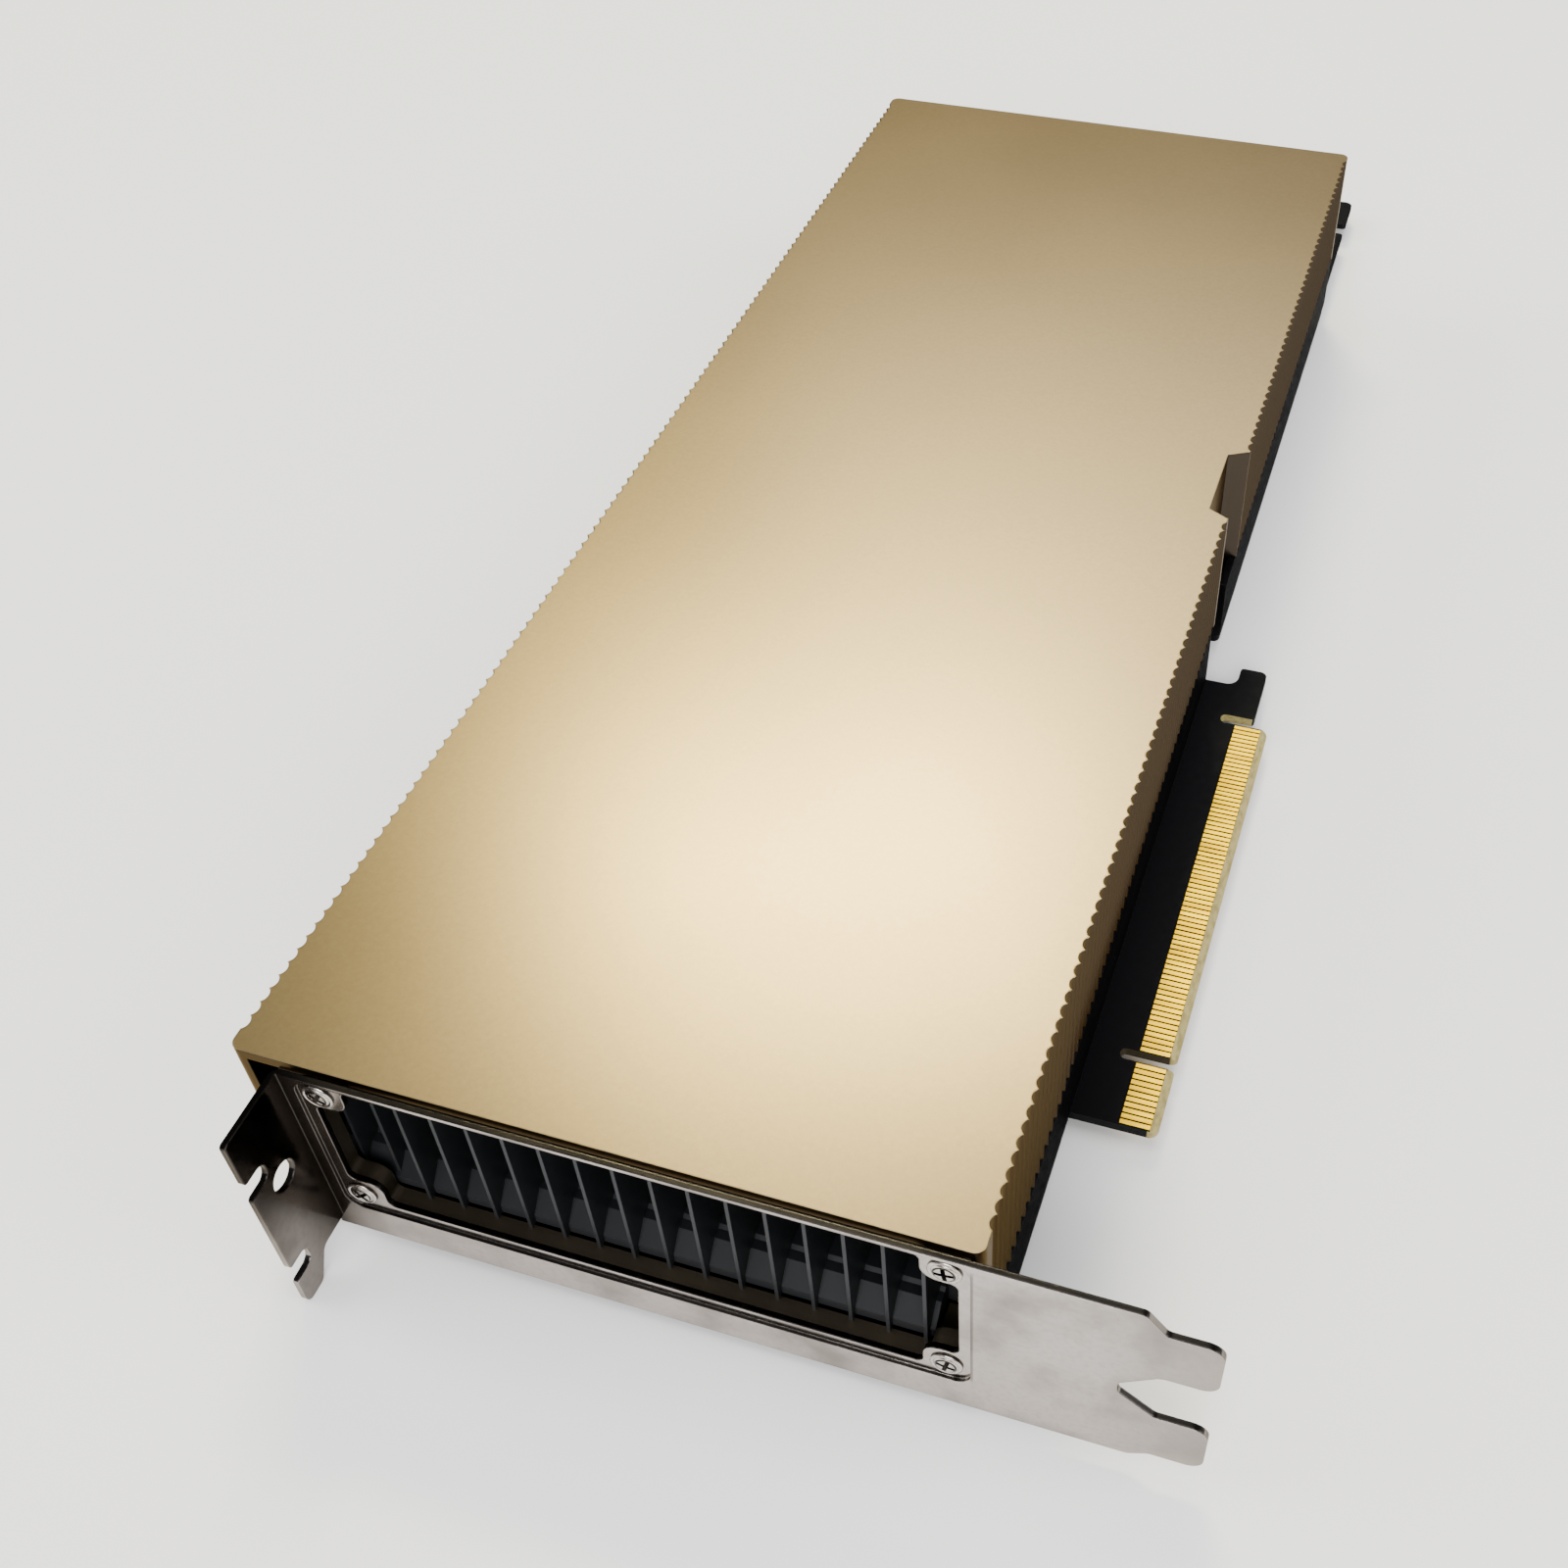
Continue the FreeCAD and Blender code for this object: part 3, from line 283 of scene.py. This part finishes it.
black_mask = (0.0025, 0.0025, 0.003)
bare_laminate = (0.36, 0.30, 0.13)
woven_laminate = (0.24, 0.20, 0.08)
painted_slot_shade = (0.035, 0.028, 0.016)
tab_root = (-9.2, -8.8)
tab_front = (45.8, 46.2)
tab_rim = (-1.6, -1.4)
hook_gap = (131.92, 131.98)
slot_front = (56.5, 56.6)
slot_back = (59.1, 59.2)
slot_mouth = (-1.2, -0.9)
board_finish = Finish("black_solder_mask", black_mask, metallic=0.0, roughness=0.35, gloss=0.05)
edge_faces = board_finish.spread(board_finish.facing("Z"), 1, 0, from_low=0.96, from_high=0.98)
tab_edges = board_finish.both(edge_faces, board_finish.past("X", tab_root))
near_contacts = board_finish.either(board_finish.past("Y", tab_front),
                                    board_finish.past("X", tab_rim))
near_contacts = board_finish.both(board_finish.before("Y", hook_gap), near_contacts)
bare = board_finish.both(tab_edges, near_contacts)
threads = board_finish.mottle(1400, 3, stretch=(1, 0.4, 1))
weave = board_finish.spread(threads, from_low=0.4, from_high=0.65)
slot_length = board_finish.both(board_finish.past("Y", slot_front),
                                board_finish.before("Y", slot_back))
slot_walls = board_finish.both(board_finish.before("X", slot_mouth), bare)
in_slot = board_finish.both(slot_length, slot_walls)
edges = board_finish.coat(black_mask, bare_laminate, bare)
edges = board_finish.coat(edges, woven_laminate, board_finish.both(bare, weave))
# The walls of the key slot are painted dark brown as painted shade inside the slot.
board_finish.coat(edges, painted_slot_shade, in_slot)
board_finish.rough(board_finish.spread(board_finish.mottle(700, 3), 0.38, 0.5))
board_finish.relief(board_finish.mottle(1200, 2, stretch=(1, 1, 0.2)), 0.006, 0.5)
board_finish.dress("circuit_board")

# Edge contacts. Eighty-two flat pads a side, copper with hard gold plating that stands
# a few hundredths of a millimetre above the board, with faint marks of being plugged in.
hard_gold = (0.80, 0.51, 0.008)
wiped_gold = (0.62, 0.37, 0.005)
contact_finish = Finish("hard_gold", hard_gold, metallic=1.0, roughness=0.28,
                        rim_tint=(0.85, 0.7, 0.3))
wiped = contact_finish.mottle(900, 4, stretch=(0.15, 1, 1))
contact_finish.coat(hard_gold, wiped_gold, contact_finish.spread(wiped))
contact_finish.rough(contact_finish.spread(wiped, 0.28, 0.36))
contact_finish.relief(wiped, 0.004, 0.5)
contact_finish.dress("edge_contacts_front")
contact_finish.dress("edge_contacts_back")

# Processor. A green laminate carries the polished silicon die and the memory stacks,
# inside a nickel-plated stiffener, with grey paste on top. The heat sink hides it all.
green_resin = (0.04, 0.14, 0.07)
laminate_finish = Finish("green_laminate", green_resin, metallic=0.0, roughness=0.4)
laminate_finish.coat(green_resin, (0.05, 0.18, 0.08),
                     laminate_finish.spread(laminate_finish.mottle(400, 3)))
laminate_finish.dress("processor_substrate")
silicon_finish = Finish("polished_silicon", (0.25, 0.25, 0.28), metallic=1.0, roughness=0.12)
silicon_finish.rough(silicon_finish.spread(silicon_finish.mottle(500, 2), 0.08, 0.16))
silicon_finish.dress("processor_die")
silicon_finish.dress("memory_stacks")
stiffener_finish = Finish("stiffener_plating", (0.6, 0.59, 0.57), metallic=1.0, roughness=0.3)
stiffener_finish.rough(stiffener_finish.spread(stiffener_finish.mottle(800, 2), 0.24, 0.38))
stiffener_finish.dress("package_stiffener")
paste_finish = Finish("grey_paste", (0.4, 0.4, 0.4), metallic=0.0, roughness=0.5)
paste_finish.relief(paste_finish.mottle(1500, 2), 0.02)
paste_finish.dress("thermal_interface")

# Power parts. Pressed ferrite coils, moulded power chips, soft heat pads and drawn
# aluminium capacitor cans, soldered to the board beside the processor.
ferrite_finish = Finish("pressed_ferrite", (0.1, 0.1, 0.1), metallic=0.0, roughness=0.6)
ferrite_finish.relief(ferrite_finish.mottle(2500, 3), 0.03, 0.7)
ferrite_finish.dress("power_inductors")
chip_finish = Finish("moulded_epoxy", (0.02, 0.02, 0.02), metallic=0.0, roughness=0.5)
chip_finish.relief(chip_finish.mottle(2500, 2), 0.01, 0.7)
chip_finish.dress("power_stages")
chip_finish.dress("support_chips")
pad_finish = Finish("soft_silicone", (0.33, 0.38, 0.44), metallic=0.0, roughness=0.7)
pad_finish.relief(pad_finish.mottle(900, 3), 0.03, 0.6)
pad_finish.dress("coil_heat_pads")
can_finish = Finish("drawn_can", (0.72, 0.72, 0.73), metallic=1.0, roughness=0.25)
can_finish.rough(can_finish.spread(can_finish.mottle(600, 2), 0.18, 0.32))
can_finish.soft_edges(0.3)
can_finish.dress("capacitors")

# Power socket. A moulded nylon shell with two rows of cavities and tin-plated pins,
# soldered at the far end of the board.
socket_finish = Finish("moulded_nylon", (0.016, 0.016, 0.016), metallic=0.0, roughness=0.45)
socket_finish.relief(socket_finish.mottle(1400, 2), 0.012, 0.6)
socket_finish.soft_edges(0.2)
socket_finish.dress("power_socket")
pin_finish = Finish("tin_plating", (0.7, 0.68, 0.62), metallic=1.0, roughness=0.25)
pin_finish.rough(pin_finish.spread(pin_finish.mottle(1500, 2), 0.2, 0.35))
pin_finish.dress("power_pins")

# Heat sink. Aluminium base and thin upright fins, black anodised: even, slightly milky
# black with fine lines along the fins. A copper heat spreader lies under its base.
spreader_finish = Finish("satin_copper", (0.72, 0.36, 0.2), metallic=1.0, roughness=0.35)
brushed = spreader_finish.mottle(300, 3, stretch=(0.1, 1, 1))
spreader_finish.rough(spreader_finish.spread(brushed, 0.28, 0.42))
spreader_finish.dress("vapor_chamber")
sink_finish = Finish("black_anodising", (0.008, 0.0085, 0.0095), metallic=0.0, roughness=0.45)
sink_clouds = sink_finish.coat((0.006, 0.0065, 0.0075), (0.01, 0.011, 0.0125),
                               sink_finish.spread(sink_finish.mottle(70, 3)))
# The fin ends, facing front and back, are painted a paler grey: partly cut edges that are less
# black, partly a painted highlight where they catch the light.
cut_and_lit_fin_ends = sink_finish.spread(sink_finish.facing("Y"), from_low=0.8, from_high=0.95)
sink_finish.coat(sink_clouds, (0.018, 0.019, 0.021), cut_and_lit_fin_ends)
sink_finish.relief(sink_finish.mottle(900, 3, stretch=(1, 0.05, 1)), 0.012, 0.6)
sink_finish.dress("heat_sink")


# Back plate, black frame and support arm. Sheet and cast metal in satin black powder
# coat, which shows a fine orange peel. They hold the board from below and round its rim.
def powder_coat(name, node, colour, roughness, grain):
    """Black powder coat of a roughness, with so many grains to the metre."""
    coating = Finish(name, colour, metallic=1.0, roughness=roughness, rim_tint=(0.1, 0.1, 0.105))
    paler = tuple(part * 1.5 for part in colour)
    coating.coat(colour, paler, coating.spread(coating.mottle(40, 4)))
    coating.rough(coating.spread(coating.mottle(grain, 2), roughness - 0.06, roughness + 0.08))
    coating.relief(coating.mottle(grain, 3), 0.02, 0.5)
    coating.soft_edges(0.2)
    coating.dress(node)


deep_black = (0.012, 0.012, 0.013)
plate_black = (0.05, 0.05, 0.054)
powder_coat("plate_coat", "backplate", plate_black, roughness=0.5, grain=1600)
powder_coat("frame_coat", "base_frame", deep_black, roughness=0.45, grain=1300)
powder_coat("arm_coat", "support_arm", deep_black, roughness=0.45, grain=1300)


# Black screws and brass spacers. Six steel screws with low round heads and a cross
# recess go up through the back plate, the board and the turned brass spacers into the
# heat sink. Two smaller ones hold the support arm to the frame.
def turned(profile, steps=64):
    """A shape turned round its own axis, from (radius, height) points in mm."""
    shape = bmesh.new()
    rings = []
    for radius, height in profile:
        count = steps if radius else 1
        turns = [2 * math.pi * step / count for step in range(count)]
        points = [(radius * math.cos(turn), radius * math.sin(turn), height) for turn in turns]
        rings.append([shape.verts.new(Vector(point) * mm) for point in points])
    for lower, upper in zip(rings, rings[1:]):
        for here in range(steps):
            after = (here + 1) % steps
            if len(lower) == 1:
                shape.faces.new((lower[0], upper[after], upper[here]))
            elif len(upper) == 1:
                shape.faces.new((lower[here], lower[after], upper[0]))
            else:
                shape.faces.new((lower[here], lower[after], upper[after], upper[here]))
    bmesh.ops.recalc_face_normals(shape, faces=shape.faces)
    mesh = bpy.data.meshes.new("turned")
    shape.to_mesh(mesh)
    shape.free()
    return mesh


def cross_recess(mesh, top, arm, width, depth):
    """The turned shape with a tapered cross cut into its top, all lengths in mm; faces in the
    cross and round the head's rim are marked for painted shade.
    """
    top, arm, width, depth = (length * mm for length in (top, arm, width, depth))
    mouth_share, foot_share = 1.1, 0.6
    painted_cross_shade, painted_rim_shade = 1.0, 0.85
    punch = bmesh.new()
    for long, wide in ((arm, width), (width, arm)):
        bar = bmesh.ops.create_cube(punch, size=1)["verts"]
        for corner in bar:
            share = mouth_share if corner.co.z > 0 else foot_share
            corner.co = (corner.co.x * long * share, corner.co.y * wide * share,
                         top + corner.co.z * 2 * depth)
    punch_mesh = bpy.data.meshes.new("punch")
    punch.to_mesh(punch_mesh)
    punch.free()
    blank = bpy.data.objects.new("blank", mesh)
    tool = bpy.data.objects.new("punch", punch_mesh)
    for thing in (blank, tool):
        bpy.context.scene.collection.objects.link(thing)
    sink = blank.modifiers.new("sink", "BOOLEAN")
    sink.operation = "DIFFERENCE"
    sink.solver = "EXACT"
    sink.use_self = True
    sink.object = tool
    cut = blank.evaluated_get(bpy.context.evaluated_depsgraph_get())
    result = bpy.data.meshes.new_from_object(cut)
    painted_shade = result.attributes.new("painted_shade", "FLOAT", "FACE")
    for face in result.polygons:
        below = top - face.center.z
        reach = face.center.xy.length
        in_cross = depth / 12 < below < 1.5 * depth and reach < arm / 2
        on_rim = reach > 1.45 * arm / 2 and below < depth
        painted_shade.data[face.index].value = painted_cross_shade if in_cross else painted_rim_shade if on_rim else 0.0
    for thing in (blank, tool):
        bpy.data.objects.remove(thing)
    return result


def set_in_place(name, mesh, places, facing, finish, node):
    """Copies of one screw at places in mm, each turned further, as one piece for a CAD node."""
    first_turn, next_turn = 0.7, 1.9
    whole = bmesh.new()
    for index, place in enumerate(places):
        copy = mesh.copy()
        driven = Matrix.Rotation(first_turn + next_turn * index, 4, "Z")
        copy.transform(Matrix.Translation(Vector(place) * mm) @ facing @ driven)
        whole.from_mesh(copy)
    joined = bpy.data.meshes.new(name)
    whole.to_mesh(joined)
    whole.free()
    joined.shade_smooth()
    joined.set_sharp_from_angle(angle=math.radians(35))
    piece = bpy.data.objects.new(name, joined)
    bpy.context.scene.collection.objects.link(piece)
    joined.materials.append(finish.material)
    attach(piece, "root")
    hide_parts(node)


oxide_finish = Finish("black_oxide", (0.03, 0.03, 0.032), metallic=0.8, roughness=0.4)
oxide_finish.rough(oxide_finish.spread(oxide_finish.mottle(1500, 2), 0.32, 0.48))
oxide_finish.soft_edges(0.1)
plate_screw_profile = [
    (0, -9.57), (0.9, -9.57), (1.2, -9.3), (1.2, 0),
    (2.3, 0), (2.3, 0.4), (2.1, 0.6), (1.6, 0.7), (0, 0.7),
]
plate_screw = cross_recess(turned(plate_screw_profile, 40), top=0.7, arm=2.4, width=0.6, depth=0.5)
plate_face = -2.97
plate_screw_places = [(x, y, plate_face) for x in (-105.6, -19) for y in (20, 126, 232)]
pointing_down = Matrix.Rotation(math.pi, 4, "X")
set_in_place("plate_screws", plate_screw, plate_screw_places, pointing_down,
             oxide_finish, "heat_sink_screws")
arm_screw_profile = [
    (0, -2.3), (0.6, -2.3), (0.8, -2.1), (0.8, 0),
    (1.5, 0), (1.5, 0.3), (1.3, 0.6), (0.8, 0.7), (0, 0.7),
]
arm_screw = cross_recess(turned(arm_screw_profile, 40), top=0.7, arm=1.6, width=0.4, depth=0.4)
arm_face, arm_screw_height = 267.3, 2.2
arm_screw_places = [(x, arm_face, arm_screw_height) for x in (-96, -58)]
pointing_back = Matrix.Rotation(-math.pi / 2, 4, "X")
set_in_place("arm_end_screws", arm_screw, arm_screw_places, pointing_back,
             oxide_finish, "arm_screws")
brass_finish = Finish("turned_brass", (0.7, 0.52, 0.24), metallic=1.0, roughness=0.28)
tool_lines = brass_finish.mottle(900, 2, stretch=(1, 1, 8))
brass_finish.rough(brass_finish.spread(tool_lines, 0.22, 0.36))
brass_finish.dress("standoffs")

# Air mouth. A short aluminium casting behind the bracket, anodised like the cover, with
# a round boss for each corner screw. It guides the air out between the fins.
mouth_gold = (0.16, 0.13, 0.09)
mouth_finish = Finish("mouth_anodising", mouth_gold, metallic=1.0, roughness=0.4)
mouth_finish.coat(mouth_gold, (0.12, 0.10, 0.07), mouth_finish.spread(mouth_finish.mottle(60, 3)))
mouth_finish.relief(mouth_finish.mottle(2200, 2), 0.012, 0.6)
mouth_finish.soft_edges(0.2)
mouth_finish.dress("duct_mouth")

# Cover. One aluminium shell with fluted long sides, blasted to a fine grain and anodised
# pale gold. It drops over the fins and seats on the frame.
pale_gold = (0.325, 0.244, 0.132)
warm_gold = (0.275, 0.203, 0.110)
grain_gold = (0.20, 0.145, 0.077)
painted_side_shade = (0.042, 0.033, 0.026)
cover_finish = Finish("pale_gold_anodising", pale_gold, metallic=1.0, roughness=0.34,
                      rim_tint=(0.66, 0.57, 0.45))
broad_clouds = cover_finish.mottle(12, 2)
blasting = cover_finish.spread(cover_finish.mottle(1400, 2), high=0.30,
                               from_low=0.25, from_high=0.75)
# Upright faces, the flute walls among them, are painted dark brown as painted shade, darker than
# the lit top.
flute_walls = cover_finish.spread(cover_finish.facing("Z"), 1, 0, from_low=0.2, from_high=0.6)
gold = cover_finish.coat(pale_gold, warm_gold, broad_clouds)
gold = cover_finish.coat(gold, grain_gold, blasting)
cover_finish.coat(gold, painted_side_shade, flute_walls)
satin = cover_finish.spread(cover_finish.mottle(30, 1), 0.276, 0.304, from_low=0, from_high=1)
cover_finish.rough(satin)
cover_finish.soft_edges(0.25)
cover_finish.dress("shroud")

# Bracket. Bent sheet steel with bright nickel plating over a rolled surface: a fine
# grain, small scuffs, and a pressed field round the air opening. Its cut edges, the
# walls of the field, a line along its right side and the bent flange are painted near
# black as a painted dark reflection, darkest high on the flange and near the bend.
clean_nickel = (0.51, 0.465, 0.43)
darker_nickel = (0.29, 0.262, 0.24)
painted_dark_reflection = (0.016, 0.014, 0.012)
tongues = (2.0, 15.8)
flange_bend = (-103.6, -103.0)
flange_fade = (-104.0, -96.0)
flange_height = (2.0, 20.0)
flange_depth = (-9.0, -1.0)
rim_near, rim_far = (-13.85, -13.70), (-13.45, -13.30)
rim_foot, rim_head = (5.0, 6.2), (31.5, 32.7)
bracket_finish = Finish("bright_nickel", clean_nickel, metallic=1.0, roughness=0.16,
                        rim_tint=(0.7, 0.66, 0.62))
scuffs = bracket_finish.mottle(75, 7)
grain = bracket_finish.spread(bracket_finish.mottle(1100, 2), high=0.35,
                              from_low=0.45, from_high=0.75)
upright_edges = bracket_finish.spread(bracket_finish.facing("X"), high=0.75,
                                      from_low=0.5, from_high=0.95)
upright_edges = bracket_finish.both(upright_edges, bracket_finish.past("X", flange_bend))
level_edges = bracket_finish.spread(bracket_finish.facing("Z"), high=0.93,
                                    from_low=0.45, from_high=0.9)
rim_width = bracket_finish.both(bracket_finish.past("X", rim_near, high=0.5),
                                bracket_finish.before("X", rim_far))
rim_length = bracket_finish.both(bracket_finish.past("Z", rim_foot),
                                 bracket_finish.before("Z", rim_head))
# Cut edges, the walls of the pressed field and a thin line along the field's right side are
# painted near black as a painted dark reflection.
painted_reflection_lines = bracket_finish.either(bracket_finish.either(level_edges, upright_edges),
                                   bracket_finish.both(rim_width, rim_length))
# The flange and the plate next to the bend are painted near black as a painted dark reflection,
# darkest high up and near the bend.
flange_reflection_share = bracket_finish.either(bracket_finish.past("Z", flange_height, low=0.3),
                              bracket_finish.past("Y", flange_depth, low=0.45))
painted_flange_reflection = bracket_finish.both(bracket_finish.before("X", flange_fade), flange_reflection_share)
plated = bracket_finish.coat(clean_nickel, darker_nickel,
                             bracket_finish.spread(scuffs, from_low=0.46, from_high=0.66))
plated = bracket_finish.coat(plated, darker_nickel, grain)
# The plating is darker towards the tongues.
plated = bracket_finish.coat(plated, darker_nickel, bracket_finish.past("X", tongues, high=0.8))
plated = bracket_finish.coat(plated, painted_dark_reflection, painted_reflection_lines)
bracket_finish.coat(plated, painted_dark_reflection, painted_flange_reflection)
bracket_finish.rough(bracket_finish.spread(scuffs, 0.12, 0.24))
bracket_finish.relief(bracket_finish.mottle(1500, 3), 0.005, 0.6)
bracket_finish.relief(bracket_finish.mottle(45, 2), 0.08, 0.25)
bracket_finish.soft_edges(0.3)
bracket_finish.dress("bracket")

# Bracket screws. Four machine screws with low round heads and a cross recess, pressed
# from steel and nickel plated. They hold the bracket to the air mouth.
screw_finish = Finish("screw_plating", (0.55, 0.50, 0.455), metallic=1.0, roughness=0.2)
bright = screw_finish.coat((0.58, 0.53, 0.48), (0.38, 0.34, 0.31),
                           screw_finish.spread(screw_finish.mottle(1100, 3)))
# The faces in each cross recess and round the rim of each head are painted near black: painted
# shade in the recess and in the gap round the head.
screw_finish.coat(bright, (0.03, 0.026, 0.022), screw_finish.marked("painted_shade"))
screw_finish.rough(screw_finish.spread(screw_finish.mottle(1500, 3), 0.16, 0.3))
screw_finish.relief(screw_finish.mottle(1800, 2), 0.004, 0.5)
screw_finish.soft_edges(0.06)
corner_screw_profile = [
    (0, -3.5), (0.95, -3.5), (1.25, -3.2), (1.25, -0.1), (2.15, -0.1),
    (2.15, 0.22), (2.05, 0.34), (1.92, 0.4), (1.72, 0.36), (1.66, 0.3),
    (1.6, 0.36), (1.46, 0.48), (1.2, 0.55), (0.6, 0.59), (0, 0.6),
]
corner_screw = cross_recess(turned(corner_screw_profile), top=0.6, arm=2.9, width=0.68, depth=0.8)
pressed_face = 0.5
corner_screw_places = [(x, pressed_face, z) for x in (-98.6, -16.9) for z in (7.6, 30.3)]
pointing_front = Matrix.Rotation(math.pi / 2, 4, "X")
set_in_place("corner_screws", corner_screw, corner_screw_places, pointing_front,
             screw_finish, "bracket_screws")
